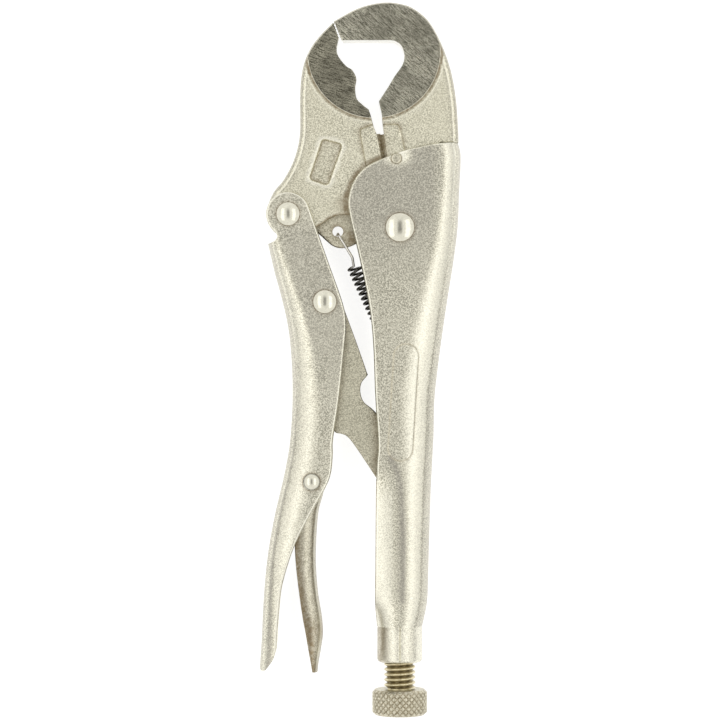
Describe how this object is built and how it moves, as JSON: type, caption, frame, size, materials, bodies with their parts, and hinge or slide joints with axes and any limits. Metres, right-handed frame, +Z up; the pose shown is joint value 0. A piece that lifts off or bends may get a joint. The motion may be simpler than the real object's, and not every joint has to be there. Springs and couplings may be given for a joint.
{
  "type": "locking pliers",
  "caption": "Locking pliers with a closed wrench mouth, wire cutter, toggle link, release lever, return spring and knurled adjusting screw.",
  "frame": {"origin": "under the middle of the tool, on the surface that it lies on", "axes": "+Y from the adjusting knob to the jaws, +Z up through the tool's thickness, +X from the movable handle to the fixed handle"},
  "size_m": [0.0705, 0.2494, 0.0194],
  "materials": {
    "handle_plate": "nickel plated sheet steel, satin blasted",
    "jaw_steel": "nickel plated forging with ground bare lands",
    "pin_steel": "nickel plated, satin",
    "rivet_steel": "bright nickel plated, polished domes",
    "link_plate": "nickel plated, dull and stained",
    "lever_plate": "nickel plated sheet steel, satin",
    "screw_steel": "plated thread with a warm oily tint",
    "knob_plate": "nickel plated diamond knurl",
    "spring_wire": "black oiled music wire"
  },
  "bodies": {
    "fixed_side": {"fixed_handle": "handle_plate", "fixed_jaw": "jaw_steel", "jaw_locating_pin": "pin_steel", "main_pivot_rivet": "rivet_steel", "jaw_spring": "spring_wire"},
    "jaw": {"movable_jaw": "jaw_steel"},
    "grip": {"movable_handle": "handle_plate", "jaw_rivet": "rivet_steel", "link_rivet": "rivet_steel", "lever_rivet": "rivet_steel"},
    "link": {"toggle_link": "link_plate"},
    "lever": {"release_lever": "lever_plate"},
    "screw": {"adjusting_screw": "screw_steel"},
    "knob": {"knurled_knob": "knob_plate"}
  },
  "joints": [
    {"name": "jaw_pivot", "type": "hinge", "parent": "fixed_side", "child": "jaw", "pos_m": [0.01385, 0.04585, 0.0097], "axis": [0, 0, 1], "range_deg": [0, 16], "deforming": ["jaw_spring"]},
    {"name": "handle_pivot", "type": "hinge", "parent": "jaw", "child": "grip", "pos_m": [-0.02515, 0.05055, 0.0097], "axis": [0, 0, 1], "range_deg": [-53, 0]},
    {"name": "link_pivot", "type": "hinge", "parent": "grip", "child": "link", "pos_m": [-0.01235, 0.01995, 0.0097], "axis": [0, 0, 1], "range_deg": [0, 59.5]},
    {"name": "release_pivot", "type": "hinge", "parent": "grip", "child": "lever", "pos_m": [-0.01695, -0.04285, 0.0097], "axis": [0, 0, 1], "range_deg": [-9, 0]},
    {"name": "screw_travel", "type": "slide", "parent": "fixed_side", "child": "screw", "axis": [0, -1, 0], "range_m": [0, 0.0181]},
    {"name": "knob_turn", "type": "hinge", "parent": "screw", "child": "knob", "pos_m": [0.01385, -0.12015, 0.0097], "axis": [0, -1, 0], "range_deg": [0, 3600]}
  ],
  "couplings": [
    {"joint": "handle_pivot", "follows": "jaw_pivot", "ratio": -3.3},
    {"joint": "link_pivot", "follows": "jaw_pivot", "ratio": 3.7},
    {"joint": "knob_turn", "follows": "screw_travel", "rad_per_m": 3463.7}
  ]
}
